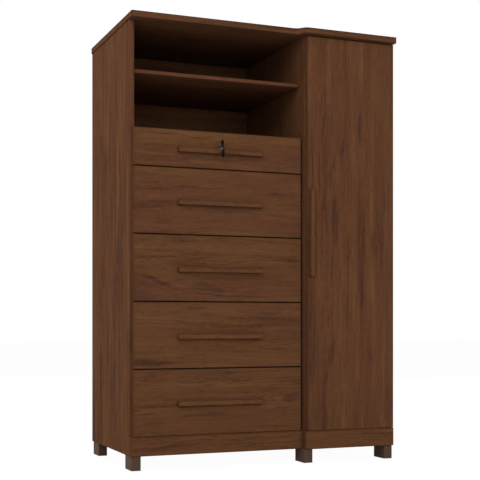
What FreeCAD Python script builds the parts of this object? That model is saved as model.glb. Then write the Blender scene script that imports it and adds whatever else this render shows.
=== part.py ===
"""Chifforobe of laminated board.

The chest section on the left has two open compartments over one shallow and four deep drawers.
The wardrobe section on the right has one tall door and stands further forward. One top panel covers
both, and its front edge passes from one section to the other in an S-curve.

Frame: millimetres, +Z up, the front faces -Y, the origin is on the floor under the middle of the
overall box.
"""

import FreeCAD, Part
import os

V = FreeCAD.Vector
RIGHT, BACK, UP = V(1, 0, 0), V(0, 1, 0), V(0, 0, 1)
hair = 1e-6                     # two places closer than this are the same

# --- Driving dimensions: carcass -------------------------------------------------------------------
body_width = 900.0
chest_width = 577.0             # left outer face to the near face of the divider
chest_depth = 480.0             # chest fronts to the back of the back sheets
section_step = 27.0             # how far the wardrobe stands ahead of the chest
board = 15.0                    # laminated board of panels, fronts and door
closing_gap = 1.0               # between a closed front and the panel edges behind it
front_gap = 3.0                 # between two fronts, above and below
back_thickness = 3.0
back_inset = 1.0                # outer faces to the edges of the back sheets
ease = 0.8                      # rounding of the laminated edges

# Heights, from the floor up
foot_height = 44.0
plinth_height = 57.0
base_lap = 5.0                  # how far the base panels rise above the plinths
deep_front_height = 205.0
deep_drawers = 4
shallow_front_height = 115.5
open_height = 330.5             # both open compartments with their shelf
open_shelf_rise = 169.5
open_shelf_thickness = 12.0
open_shelf_setback = 25.0
top_thickness = 20.0

# Top panel
top_overhang_front = 15.0
top_overhang_side = 2.0
curve_length = 48.0             # the S-curve's length along the front
curve_end = 8.0                 # its end, right of the divider's near face

# Fronts and door
front_left_reveal = 9.5         # left outer face to the drawer fronts
front_right_gap = 5.5           # drawer fronts to the divider
door_left_reveal = 6.0          # divider's near face to the door
door_right_inset = 1.0

# Handles
handle_length = 282.0
handle_face = 16.0
handle_projection = 15.0
handle_bar = 6.5
handle_foot = 14.0
handle_round = 2.0
handle_drop = 4.4               # below the middle of a drawer front
door_handle_inset = 12.75       # door's free edge to the handle's middle
door_handle_height = 744.5

# Feet
foot_width = 30.0
foot_depth = 70.0
foot_inset = 3.0
foot_setback = 5.0
foot_rear_inset = 8.0
foot_shift = 3.5                # middle feet, right of the divider's middle
foot_screw_inset = 9.0
foot_counterbore = 10.0
foot_round = 2.0
foot_screw_parts = (0.4, 0.75)  # shares of a foot's depth

# Drawer boxes
runner_space = 12.5
side_thickness = 12.0
box_depth = 400.0
box_lift = 16.0                 # fronts' lower edge to the boxes' lower edge
deep_side_height = 150.0
shallow_side_height = 80.0
bottom_thickness = 3.0
groove_rise = 10.0
groove_depth = 5.0
groove_play = 0.2
front_dowel_parts = (0.35, 0.8) # shares of a side's height
back_screw_parts = (0.5, 0.8)

# Runners
runner_height = 36.0
runner_end_gap = 17.0           # behind the runners, to the back of the boxes
runner_reach = 10.0
runner_steel = 1.2
runner_play = 0.3
runner_rise = 30.0
runner_setback = 2.0
runner_screw_inset = 40.0

# Wardrobe fittings
rail_radius = 12.5
rail_wall = 1.5
rail_drop = 80.0
socket_floor = 2.0
socket_length = 14.0
socket_wall = 3.0
socket_flange = 24.0
fit_play = 0.1
shoe_shelf_height = 300.0
shoe_shelf_setback = 40.0
shoe_shelf_play = 0.5
pin_radius = 2.5
pin_bite = 8.0
pin_out = 8.0
pin_inset = 40.0

# Hinges
cup_inset = 22.5                # door's hinge edge to the middle of a cup
cup_radius = 17.5
cup_depth = 11.5
cup_wall = 1.0
cup_flange = 0.7
cup_rim = 2.0
ear_reach = 31.0
ear_width = 12.0
ear_screw = 25.0
arm_width = 14.0
arm_thickness = 10.0
arm_side = 3.5                  # right of the cup's middle
arm_length = 70.0
arm_play = 0.3
arm_shoulder = 4.5              # panel's front edge to the arm's bend
plate_thickness = 2.0
plate_start = 18.0              # panel's front edge to the plate
plate_length = 44.0
plate_height = 54.0
hinge_end = 110.0               # door's ends to the outer hinges

# Screws and dowels
screw_radius = 2.0
screw_head_radius = 3.5
screw_head = 1.4
screw_bite = 9.0
dowel_radius = 4.0
dowel_length = 30.0
dowel_bite = 8.0
dowel_inset = 70.0
dowel_stagger = 40.0

# Lock and keys
lock_rise = 11.75               # above the middle of the shallow front
lock_rim = 9.0
lock_rim_height = 2.0
barrel_radius = 8.0
barrel_length = 26.0            # behind the front's face
plug_radius = 5.5
plug_play = 0.05
nut_radius = 11.5
nut_thickness = 4.0
cam_length = 38.0
cam_width = 12.0
cam_thickness = 2.0
cam_play = 1.5                  # around the cam in its mortise
retainer_radius = 3.0
retainer_rise = 2.0             # behind the cam
blade_height = 7.0
blade_thickness = 2.0
blade_length = 18.0
bow_neck = 7.5
bow_length = 22.0
bow_height = 22.0
bow_thickness = 2.2
bow_drop = 3.0                  # bow's lower edge below the lock's axis
bow_round = 5.0
bow_hole = 1.7
bow_hole_inset = 4.0
ring_radius = 9.0
ring_wire = 0.8
spare_blade_length = 20.0

# --- Places that follow ----------------------------------------------------------------------------
left_x = -body_width / 2
right_x = body_width / 2
chest_inner_x = left_x + board
divider_x = left_x + chest_width
divider_far_x = divider_x + board
wardrobe_inner_x = right_x - board

overall_depth = chest_depth + section_step + top_overhang_front
back_y = overall_depth / 2
inner_back_y = back_y - back_thickness
chest_front_y = back_y - chest_depth
chest_fronts_back_y = chest_front_y + board
chest_edge_y = chest_fronts_back_y + closing_gap
wardrobe_front_y = chest_front_y - section_step
door_back_y = wardrobe_front_y + board
wardrobe_edge_y = door_back_y + closing_gap

plinth_top = foot_height + plinth_height
base_top = plinth_top + base_lap
fronts_bottom = plinth_top + front_gap
front_pitch = deep_front_height + front_gap
shallow_front_z = fronts_bottom + deep_drawers * front_pitch
deck_top = shallow_front_z + shallow_front_height
deck_bottom = deck_top - board
carcass_top = deck_top + open_height
door_top = carcass_top - front_gap

front_x0 = left_x + front_left_reveal
front_x1 = divider_x - front_right_gap
front_mid_x = (front_x0 + front_x1) / 2
bay_mid_x = (chest_inner_x + divider_x) / 2
box_x0 = chest_inner_x + runner_space
box_x1 = divider_x - runner_space
runner_length = box_depth - closing_gap - runner_setback - runner_end_gap
door_x0 = divider_x + door_left_reveal
door_x1 = right_x - door_right_inset

lock_x = front_mid_x
lock_z = shallow_front_z + shallow_front_height / 2 + lock_rise
cam_y = chest_front_y + barrel_length

cup_x = door_x1 - cup_inset
hinge_heights = [fronts_bottom + hinge_end, (fronts_bottom + door_top) / 2, door_top - hinge_end]


# --- Solids ----------------------------------------------------------------------------------------
def block(x0, x1, y0, y1, z0, z1):
    return Part.makeBox(x1 - x0, y1 - y0, z1 - z0, V(x0, y0, z0))


def rod(radius, start, direction, length):
    return Part.makeCylinder(radius, length, start, direction)


def eased(solid, chosen, radius):
    """The solid with the chosen edges rounded."""
    return solid.makeFillet(radius, [edge for edge in solid.Edges if chosen(edge)])


def on_face(edge, y):
    """Whether the whole edge lies in the plane at this depth."""
    box = edge.BoundBox
    return abs(box.YMin - y) < hair and abs(box.YMax - y) < hair


def faced_board(x0, x1, y0, y1, z0, z1):
    """A board whose front face has eased edges."""
    solid = block(x0, x1, y0, y1, z0, z1)
    return eased(solid, lambda edge: on_face(edge, y0), ease)


def drilled(solid, holes):
    """The solid, cut by those of the holes that reach it."""
    near = [hole for hole in holes if hole.BoundBox.intersect(solid.BoundBox)]
    return solid.cut(near) if near else solid


def across_bay(solid):
    """The same piece on the other side of the drawer bay."""
    return solid.mirror(V(bay_mid_x, 0, 0), RIGHT)


def screw(seat, direction, length):
    head = rod(screw_head_radius, seat - direction * screw_head, direction, screw_head)
    return head.fuse(rod(screw_radius, seat, direction, length)).removeSplitter()


def screw_hole(seat, direction, length):
    return rod(screw_radius + fit_play, seat, direction, length + fit_play)


def dowel(face_point, into):
    """A dowel that bites into a face and runs into the end of the board that meets it."""
    return rod(dowel_radius, face_point - into * dowel_bite, into, dowel_length)


def dowel_hole(face_point, into):
    start = face_point - into * (dowel_bite + fit_play)
    return rod(dowel_radius + fit_play, start, into, dowel_length + 2 * fit_play)


def export(name, solids):
    shape = solids[0] if len(solids) == 1 else Part.makeCompound(solids)
    shape.exportStep(f"parts/{name}.step")


# --- Fasteners of the carcass ----------------------------------------------------------------------
def end_dowels(x, z, into, front_y, stagger):
    """Two dowels in the end of a horizontal board."""
    depths = [front_y + dowel_inset + stagger, inner_back_y - dowel_inset - stagger]
    return [(V(x, y, z), into) for y in depths]


def dowel_places():
    places = []
    base_z = base_top - board / 2
    shelf_z = deck_top + open_shelf_rise + open_shelf_thickness / 2
    for z in (base_z, deck_top - board / 2, shelf_z):
        places += end_dowels(chest_inner_x, z, RIGHT, chest_edge_y, 0)
        places += end_dowels(divider_x, z, -RIGHT, chest_edge_y, 0)
    places += end_dowels(divider_far_x, base_z, RIGHT, wardrobe_edge_y, dowel_stagger)
    places += end_dowels(wardrobe_inner_x, base_z, -RIGHT, wardrobe_edge_y, dowel_stagger)
    places += end_dowels(left_x + board / 2, carcass_top, -UP, chest_edge_y, 0)
    places += end_dowels(divider_x + board / 2, carcass_top, -UP, wardrobe_edge_y, 0)
    places += end_dowels(right_x - board / 2, carcass_top, -UP, wardrobe_edge_y, 0)
    plinth_z = (base_top - board + plinth_top) / 2
    for x in (chest_inner_x + dowel_inset, divider_x - dowel_inset):
        places.append((V(x, chest_edge_y, plinth_z), BACK))
    for x in (divider_far_x + dowel_inset, wardrobe_inner_x - dowel_inset):
        places.append((V(x, wardrobe_edge_y, plinth_z), BACK))
    return places


def foot_corners():
    """Left edge, front edge and screw position of each foot."""
    rear_y = back_y - foot_rear_inset - foot_depth
    middle_x = divider_x + board / 2 + foot_shift - foot_width / 2
    columns = [
        (left_x + foot_inset, chest_front_y + foot_setback, left_x + foot_screw_inset),
        (middle_x, wardrobe_front_y + foot_setback, divider_x + board / 2),
        (right_x - foot_inset - foot_width, wardrobe_front_y + foot_setback, right_x - foot_screw_inset),
    ]
    return [(x, y, screw_x) for x, front_y, screw_x in columns for y in (front_y, rear_y)]


def foot_screw_places():
    length = foot_height - foot_counterbore + 2 * screw_bite
    places = []
    for x, y, screw_x in foot_corners():
        for part in foot_screw_parts:
            places.append((V(screw_x, y + foot_depth * part, foot_counterbore), UP, length))
    return places


def runner_depths():
    start = chest_edge_y + runner_setback
    return [start + runner_screw_inset, start + runner_length - runner_screw_inset]


def runner_heights():
    """Middle height of each drawer's runners, from the shallow drawer down."""
    deep = [fronts_bottom + k * front_pitch for k in reversed(range(deep_drawers))]
    return [z + box_lift + runner_rise for z in [shallow_front_z] + deep]


def runner_screw_places():
    places = []
    length = screw_bite + runner_steel
    for z in runner_heights():
        for y in runner_depths():
            places.append((V(chest_inner_x + runner_steel, y, z), -RIGHT, length))
            places.append((V(divider_x - runner_steel, y, z), RIGHT, length))
    return places


def rail_place():
    return (wardrobe_edge_y + inner_back_y) / 2, carcass_top - rail_drop


def socket_screw_places():
    y, z = rail_place()
    reach = (rail_radius + fit_play + socket_wall + socket_flange) / 2
    length = screw_bite + socket_floor
    places = []
    for side in (-1, 1):
        places.append((V(divider_far_x + socket_floor, y, z + side * reach), -RIGHT, length))
        places.append((V(wardrobe_inner_x - socket_floor, y, z + side * reach), RIGHT, length))
    return places


def plate_screw_places():
    y = wardrobe_edge_y + plate_start + plate_length / 2
    x = wardrobe_inner_x - plate_thickness
    reach = (arm_width + plate_height) / 4
    length = screw_bite + plate_thickness
    return [(V(x, y, z + side * reach), RIGHT, length) for z in hinge_heights for side in (-1, 1)]


def cabinet_screw_places():
    return foot_screw_places() + runner_screw_places() + socket_screw_places() + plate_screw_places()


def pin_places():
    """Where the shelf pins leave the panels, and which way they point."""
    z = shoe_shelf_height - pin_radius
    depths = [wardrobe_edge_y + shoe_shelf_setback + pin_inset, inner_back_y - pin_inset]
    left = [(V(divider_far_x, y, z), RIGHT) for y in depths]
    return left + [(V(wardrobe_inner_x, y, z), -RIGHT) for y in depths]


def shelf_pin(point, outward):
    return rod(pin_radius, point - outward * pin_bite, outward, pin_bite + pin_out)


def carcass_holes():
    holes = [dowel_hole(*place) for place in dowel_places()]
    holes += [screw_hole(*place) for place in cabinet_screw_places()]
    for point, outward in pin_places():
        holes.append(rod(pin_radius + fit_play, point - outward * pin_bite, outward, pin_bite))
    return holes


# --- Carcass ---------------------------------------------------------------------------------------
def upright(x0, edge_y):
    return faced_board(x0, x0 + board, edge_y, inner_back_y, foot_height, carcass_top)


def top_panel():
    """The top, with two tangent arcs between its two front edges."""
    x0, x1 = left_x - top_overhang_side, right_x + top_overhang_side
    chest_y = chest_front_y - top_overhang_front
    wardrobe_y = wardrobe_front_y - top_overhang_front
    end_x = divider_x + curve_end
    start_x = end_x - curve_length
    radius = (curve_length ** 2 + section_step ** 2) / (4 * section_step)
    middle = V((start_x + end_x) / 2, (chest_y + wardrobe_y) / 2, carcass_top)
    first_centre = V(start_x, chest_y - radius, carcass_top)
    second_centre = V(end_x, wardrobe_y + radius, carcass_top)
    start, end = V(start_x, chest_y, carcass_top), V(end_x, wardrobe_y, carcass_top)

    def halfway(centre, a, b):
        return centre + ((a + b) * 0.5 - centre).normalize() * radius

    corners = [V(x1, wardrobe_y, carcass_top), V(x1, back_y, carcass_top)]
    corners += [V(x0, back_y, carcass_top), V(x0, chest_y, carcass_top)]
    edges = [
        Part.makeLine(corners[3], start),
        Part.Arc(start, halfway(first_centre, start, middle), middle).toShape(),
        Part.Arc(middle, halfway(second_centre, middle, end), end).toShape(),
        Part.makeLine(end, corners[0]),
    ]
    edges += [Part.makeLine(a, b) for a, b in zip(corners, corners[1:])]
    solid = Part.Face(Part.Wire(edges)).extrude(UP * top_thickness)
    upper = carcass_top + top_thickness
    return eased(solid, lambda edge: edge.BoundBox.ZMin > upper - hair, ease)


def cam_mortise():
    """The space in the deck that the lock's cam turns up into."""
    x0 = lock_x - cam_length + cam_width
    x1 = lock_x + cam_width / 2 + cam_play
    top = lock_z + cam_length + cam_play
    y0, y1 = cam_y - cam_play, cam_y + cam_thickness + cam_play
    return block(x0, x1, y0, y1, deck_bottom - cam_play, top)


def feet():
    solids = []
    for x, y, screw_x in foot_corners():
        solid = block(x, x + foot_width, y, y + foot_depth, 0, foot_height)
        solid = eased(solid, lambda edge: edge.BoundBox.ZLength > foot_height / 2, foot_round)
        for part in foot_screw_parts:
            place = V(screw_x, y + foot_depth * part, 0)
            solid = solid.cut(rod(screw_head_radius + fit_play, place, UP, foot_counterbore))
        solids.append(solid)
    return solids


def cabinet_runners():
    solids = []
    start = chest_edge_y + runner_setback
    half = runner_height / 2
    for z in runner_heights():
        x0, x1 = chest_inner_x, chest_inner_x + runner_reach
        outer = block(x0, x1, start, start + runner_length, z - half, z + half)
        inner_half = half - runner_steel
        hollow = block(x0 + runner_steel, x1, start, start + runner_length, z - inner_half, z + inner_half)
        channel = outer.cut(hollow)
        solids += [channel, across_bay(channel)]
    return solids


def rail_sockets():
    y, z = rail_place()
    bore = rail_radius + fit_play
    solids = []
    for x, inward in ((divider_far_x, RIGHT), (wardrobe_inner_x, -RIGHT)):
        face = V(x, y, z)
        solid = rod(socket_flange, face, inward, socket_floor)
        solid = solid.fuse(rod(bore + socket_wall, face, inward, socket_length))
        solids.append(solid.cut(rod(bore, face + inward * socket_floor, inward, socket_length)))
    return solids


def hanging_rail():
    y, z = rail_place()
    start = V(divider_far_x + socket_floor, y, z)
    length = wardrobe_inner_x - divider_far_x - 2 * socket_floor
    tube = rod(rail_radius, start, RIGHT, length)
    return tube.cut(rod(rail_radius - rail_wall, start, RIGHT, length))


def hinge_arms():
    """For each hinge, the plate on the side panel and the arm that reaches into the door's cup."""
    floor_y = door_back_y - cup_depth + cup_wall
    tip_x1 = cup_x + arm_side
    tip_x0 = tip_x1 - arm_thickness
    plate_x = wardrobe_inner_x - plate_thickness
    plate_y = wardrobe_edge_y + plate_start
    shoulder_y = wardrobe_edge_y + arm_shoulder
    outline = [
        (tip_x0, floor_y + arm_play),
        (tip_x1, floor_y + arm_play),
        (tip_x1, shoulder_y),
        (plate_x, plate_y),
        (plate_x, wardrobe_edge_y + arm_length),
        (plate_x - arm_thickness, wardrobe_edge_y + arm_length),
        (plate_x - arm_thickness, plate_y),
        (tip_x0, shoulder_y),
    ]
    solids = []
    for z in hinge_heights:
        points = [V(x, y, z - arm_width / 2) for x, y in outline]
        face = Part.Face(Part.makePolygon(points + points[:1]))
        solids.append(face.extrude(UP * arm_width))
        z0, z1 = z - plate_height / 2, z + plate_height / 2
        solids.append(block(plate_x, wardrobe_inner_x, plate_y, plate_y + plate_length, z0, z1))
    return solids


def carcass():
    holes = carcass_holes()
    base_z0 = base_top - board
    shelf_z = deck_top + open_shelf_rise
    back_mid_x = divider_x + board / 2
    shelf_x0, shelf_x1 = divider_far_x + shoe_shelf_play, wardrobe_inner_x - shoe_shelf_play
    shelf_y0 = wardrobe_edge_y + shoe_shelf_setback
    plinth_y = chest_edge_y
    deck = block(chest_inner_x, divider_x, chest_edge_y, inner_back_y, deck_bottom, deck_top)
    nodes = {
        "left_side_panel": [upright(left_x, chest_edge_y)],
        "divider_panel": [upright(divider_x, wardrobe_edge_y)],
        "right_side_panel": [upright(wardrobe_inner_x, wardrobe_edge_y)],
        "top_panel": [top_panel()],
        "left_bottom_panel": [
            block(chest_inner_x, divider_x, chest_edge_y, inner_back_y, base_z0, base_top)
        ],
        "right_bottom_panel": [
            block(divider_far_x, wardrobe_inner_x, wardrobe_edge_y, inner_back_y, base_z0, base_top)
        ],
        "left_plinth": [faced_board(left_x, divider_x, chest_front_y, plinth_y, foot_height, plinth_top)],
        "right_plinth": [
            faced_board(divider_x, right_x, wardrobe_front_y, wardrobe_edge_y, foot_height, plinth_top)
        ],
        "back_sheets": [
            block(left_x + back_inset, back_mid_x, inner_back_y, back_y, base_z0, carcass_top),
            block(back_mid_x, right_x - back_inset, inner_back_y, back_y, base_z0, carcass_top),
        ],
        "open_shelf": [
            faced_board(
                chest_inner_x, divider_x,
                chest_front_y + open_shelf_setback, inner_back_y,
                shelf_z, shelf_z + open_shelf_thickness,
            )
        ],
        "drawer_bay_top": [deck.cut(cam_mortise())],
        "shoe_shelf": [
            faced_board(
                shelf_x0, shelf_x1, shelf_y0, inner_back_y - shoe_shelf_play,
                shoe_shelf_height, shoe_shelf_height + board,
            )
        ],
        "feet": feet(),
        "cabinet_runners": cabinet_runners(),
        "rail_sockets": rail_sockets(),
        "hinge_arms": hinge_arms(),
    }
    for name, solids in nodes.items():
        export(name, [drilled(solid, holes) for solid in solids])
    export("hanging_rail", [hanging_rail()])
    export("dowels", [dowel(*place) for place in dowel_places()])
    export("cabinet_screws", [screw(*place) for place in cabinet_screw_places()])
    export("shelf_pins", [shelf_pin(*place) for place in pin_places()])


# --- Handles ---------------------------------------------------------------------------------------
def handle():
    """A bar handle along X with its back at Y = 0 and its middle at the origin."""
    half = handle_length / 2
    z = handle_face / 2
    solid = block(-half, half, -handle_projection, 0, -z, z)
    inner = half - handle_foot
    solid = solid.cut(block(-inner, inner, handle_bar - handle_projection, 0, -z, z))
    return eased(solid, lambda edge: on_face(edge, -handle_projection), handle_round)


def handle_screw_places(middle, along):
    """Screws from behind a front of board thickness into the two feet of a handle."""
    reach = (handle_length - handle_foot) / 2
    length = board + screw_bite
    return [(middle + BACK * board + along * side * reach, -BACK, length) for side in (-1, 1)]


# --- Drawers ---------------------------------------------------------------------------------------
def drawer_side(z0, height):
    """The left side of a drawer box, grooved for the bottom."""
    y1 = chest_fronts_back_y + box_depth
    solid = block(box_x0, box_x0 + side_thickness, chest_fronts_back_y, y1, z0, z0 + height)
    groove_z = z0 + groove_rise
    inner_x = box_x0 + side_thickness
    groove_top = groove_z + bottom_thickness + groove_play
    return solid.cut(block(inner_x - groove_depth, inner_x, chest_fronts_back_y, y1, groove_z, groove_top))


def drawer_runner(z):
    """The left channel on a drawer box, inside the cabinet's channel."""
    half = runner_height / 2 - runner_steel - runner_play
    start = chest_edge_y + runner_setback
    outer = block(box_x0 - runner_reach, box_x0, start, start + runner_length, z - half, z + half)
    inner_half = half - runner_steel
    x1 = box_x0 - runner_steel
    return outer.cut(
        block(box_x0 - runner_reach, x1, start, start + runner_length, z - inner_half, z + inner_half)
    )


def drawer_screw_places(handle_middle, z0, height):
    places = handle_screw_places(handle_middle, RIGHT)
    runner_z = z0 + runner_rise
    length = screw_bite + runner_steel
    for y in runner_depths():
        places.append((V(box_x0 - runner_steel, y, runner_z), RIGHT, length))
        places.append((V(box_x1 + runner_steel, y, runner_z), -RIGHT, length))
    back_y_middle = chest_fronts_back_y + box_depth - side_thickness / 2
    for part in back_screw_parts:
        z = z0 + height * part
        length = side_thickness + 2 * screw_bite
        places.append((V(box_x0, back_y_middle, z), RIGHT, length))
        places.append((V(box_x1, back_y_middle, z), -RIGHT, length))
    return places


def drawer_dowel_places(z0, height):
    """Dowels between the drawer front and the two sides."""
    middles = (box_x0 + side_thickness / 2, box_x1 - side_thickness / 2)
    heights = [z0 + height * part for part in front_dowel_parts]
    return [(V(x, chest_fronts_back_y, z), BACK) for x in middles for z in heights]


def drawer(number, front_z, front_height, side_height):
    name = f"drawer_{number}"
    z0 = front_z + box_lift
    groove_z = z0 + groove_rise
    inner_x0, inner_x1 = box_x0 + side_thickness, box_x1 - side_thickness
    box_back_y = chest_fronts_back_y + box_depth
    groove_front_y = chest_fronts_back_y - groove_depth
    groove_top = groove_z + bottom_thickness + groove_play
    handle_middle = V(front_mid_x, chest_front_y, front_z + front_height / 2 - handle_drop)
    screws = drawer_screw_places(handle_middle, z0, side_height)
    dowels = drawer_dowel_places(z0, side_height)
    holes = [screw_hole(*place) for place in screws] + [dowel_hole(*place) for place in dowels]

    front_top = front_z + front_height
    front = faced_board(front_x0, front_x1, chest_front_y, chest_fronts_back_y, front_z, front_top)
    groove_x0, groove_x1 = inner_x0 - groove_depth, inner_x1 + groove_depth
    front = front.cut(block(groove_x0, groove_x1, groove_front_y, chest_fronts_back_y, groove_z, groove_top))
    if number == 1:
        place = V(lock_x, chest_front_y, lock_z)
        front = front.cut(rod(barrel_radius + fit_play, place, BACK, board))
    side = drawer_side(z0, side_height)
    back = block(inner_x0, inner_x1, box_back_y - side_thickness, box_back_y, groove_top, z0 + side_height)
    bottom = block(
        groove_x0 + groove_play, groove_x1 - groove_play, groove_front_y + groove_play, box_back_y,
        groove_z, groove_z + bottom_thickness,
    )
    runner = drawer_runner(z0 + runner_rise)
    pieces = {
        "front": [front],
        "box": [side, across_bay(side), back],
        "bottom": [bottom],
        "handle": [handle().translated(handle_middle)],
        "runners": [runner, across_bay(runner)],
    }
    for piece, solids in pieces.items():
        made = [drilled(solid, holes) for solid in solids]
        if piece == "box":
            made += [dowel(*place) for place in dowels]
        export(f"{name}_{piece}", made)
    export(f"{name}_screws", [screw(*place) for place in screws])


# --- Door ------------------------------------------------------------------------------------------
def ear_screw_places():
    y = door_back_y + cup_flange
    heights = [z + side * ear_screw for z in hinge_heights for side in (-1, 1)]
    return [(V(cup_x, y, z), -BACK, screw_bite) for z in heights]


def hinge_cups():
    solids = []
    for z in hinge_heights:
        mouth = V(cup_x, door_back_y + cup_flange, z)
        cup = rod(cup_radius, mouth, -BACK, cup_depth + cup_flange)
        flange = rod(cup_radius + cup_rim, mouth, -BACK, cup_flange)
        x0, x1 = cup_x - ear_width / 2, cup_x + ear_width / 2
        ears = block(x0, x1, door_back_y, door_back_y + cup_flange, z - ear_reach, z + ear_reach)
        hollow = rod(cup_radius - cup_wall, mouth, -BACK, cup_depth + cup_flange - cup_wall)
        solids.append(cup.fuse([flange, ears]).removeSplitter().cut(hollow))
    return solids


def door():
    panel = faced_board(door_x0, door_x1, wardrobe_front_y, door_back_y, fronts_bottom, door_top)
    for z in hinge_heights:
        panel = panel.cut(rod(cup_radius + fit_play, V(cup_x, door_back_y, z), -BACK, cup_depth))
    handle_middle = V(door_x0 + door_handle_inset, wardrobe_front_y, door_handle_height)
    screws = handle_screw_places(handle_middle, UP) + ear_screw_places()
    holes = [screw_hole(*place) for place in screws]
    upright_handle = handle().rotated(V(0, 0, 0), BACK, 90).translated(handle_middle)
    export("door_panel", [drilled(panel, holes)])
    export("door_handle", [drilled(upright_handle, holes)])
    export("hinge_cups", [drilled(cup, holes) for cup in hinge_cups()])
    export("door_screws", [screw(*place) for place in screws])


# --- Lock and keys ---------------------------------------------------------------------------------
def lock_body():
    """The barrel with its rim, and the nut behind the front."""
    face = V(lock_x, chest_front_y, lock_z)
    barrel = rod(lock_rim, face - BACK * lock_rim_height, BACK, lock_rim_height)
    barrel = eased(barrel, lambda edge: on_face(edge, chest_front_y - lock_rim_height), ease)
    barrel = barrel.fuse(rod(barrel_radius, face, BACK, barrel_length)).removeSplitter()
    bore_start = face - BACK * lock_rim_height
    bore = rod(plug_radius + plug_play, bore_start, BACK, lock_rim_height + barrel_length)
    back = V(lock_x, chest_fronts_back_y, lock_z)
    nut = rod(nut_radius, back, BACK, nut_thickness)
    return [barrel.cut(bore), nut.cut(rod(barrel_radius, back, BACK, nut_thickness))]


def blade(y0, y1, z):
    half_x, half_z = blade_thickness / 2, blade_height / 2
    return block(lock_x - half_x, lock_x + half_x, y0, y1, z - half_z, z + half_z)


def lock_plug():
    start = V(lock_x, chest_front_y - lock_rim_height, lock_z)
    plug = rod(plug_radius, start, BACK, lock_rim_height + barrel_length)
    return plug.cut(blade(start.y, chest_front_y + blade_length, lock_z))


def lock_cam():
    """The cam lies to the left while the lock is open and stands up while it is locked."""
    start = V(lock_x, cam_y, lock_z)
    half = cam_width / 2
    cam = rod(half, start, BACK, cam_thickness)
    arm = block(lock_x - cam_length, lock_x, cam_y, cam_y + cam_thickness, lock_z - half, lock_z + half)
    retainer = rod(retainer_radius, start, BACK, cam_thickness + retainer_rise)
    return cam.fuse([arm, retainer]).removeSplitter()


def bow(y0, z0):
    """A key's flat head, with its hole in the lower outer corner of this outline."""
    x0, x1 = lock_x - bow_thickness / 2, lock_x + bow_thickness / 2
    plate = block(x0, x1, y0, y0 + bow_length, z0, z0 + bow_height)
    return eased(plate, lambda edge: edge.BoundBox.XLength > bow_thickness / 2, bow_round)


def ring_hole(y, z):
    return rod(bow_hole, V(lock_x - bow_thickness, y, z), RIGHT, 2 * bow_thickness)


key_bow_y = chest_front_y - lock_rim_height - bow_neck - bow_length
key_bow_z = lock_z - bow_drop
hole_y = key_bow_y + bow_hole_inset
hole_z = key_bow_z + bow_hole_inset
ring_bottom_z = hole_z - 2 * ring_radius


def key():
    head = bow(key_bow_y, key_bow_z)
    shank = blade(key_bow_y + bow_length, chest_front_y + blade_length, lock_z)
    return head.fuse(shank).removeSplitter().cut(ring_hole(hole_y, hole_z))


def key_ring():
    centre = V(lock_x, hole_y, hole_z - ring_radius)
    return Part.makeTorus(ring_radius, ring_wire, centre, BACK)


def spare_key():
    """The second key, which hangs blade down from the ring."""
    top_z = ring_bottom_z + bow_hole_inset
    z0 = top_z - bow_height
    head = bow(hole_y - bow_length / 2, z0)
    half_x, half_y = blade_thickness / 2, blade_height / 2
    tip_z = z0 - spare_blade_length
    shank = block(lock_x - half_x, lock_x + half_x, hole_y - half_y, hole_y + half_y, tip_z, z0)
    return head.fuse(shank).removeSplitter().cut(ring_hole(hole_y, ring_bottom_z))


def lock_and_keys():
    export("lock_body", lock_body())
    export("lock_plug", [lock_plug()])
    export("lock_cam", [lock_cam()])
    export("key", [key()])
    export("key_ring", [key_ring()])
    export("spare_key", [spare_key()])


# --- The whole -------------------------------------------------------------------------------------
os.makedirs("parts", exist_ok=True)
carcass()
drawer(1, shallow_front_z, shallow_front_height, shallow_side_height)
for step in range(deep_drawers):
    drawer(deep_drawers + 1 - step, fronts_bottom + step * front_pitch, deep_front_height, deep_side_height)
door()
lock_and_keys()
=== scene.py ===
"""The looks of a chifforobe: walnut-print laminate on its boards, dark feet, plated fittings."""

import math

import bpy
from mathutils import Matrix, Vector

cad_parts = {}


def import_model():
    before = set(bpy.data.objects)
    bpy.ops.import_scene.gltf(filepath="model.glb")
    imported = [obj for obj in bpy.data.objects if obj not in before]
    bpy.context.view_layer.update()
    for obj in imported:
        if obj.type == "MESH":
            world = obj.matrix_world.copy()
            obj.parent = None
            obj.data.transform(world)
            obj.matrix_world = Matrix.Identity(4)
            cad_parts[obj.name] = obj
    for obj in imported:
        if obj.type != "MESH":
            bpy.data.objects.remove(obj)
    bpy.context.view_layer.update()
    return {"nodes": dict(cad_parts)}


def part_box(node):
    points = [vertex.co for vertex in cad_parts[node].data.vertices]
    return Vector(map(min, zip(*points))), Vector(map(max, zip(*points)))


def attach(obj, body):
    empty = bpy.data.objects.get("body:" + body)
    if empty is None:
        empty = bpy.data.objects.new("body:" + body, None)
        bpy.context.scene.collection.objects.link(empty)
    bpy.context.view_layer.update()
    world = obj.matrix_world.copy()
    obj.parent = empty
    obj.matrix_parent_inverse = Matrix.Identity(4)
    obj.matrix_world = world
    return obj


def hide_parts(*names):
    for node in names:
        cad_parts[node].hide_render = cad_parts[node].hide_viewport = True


MM = 0.001
DRAWERS = range(1, 6)
WHITE = (1, 1, 1, 1)

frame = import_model()


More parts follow.
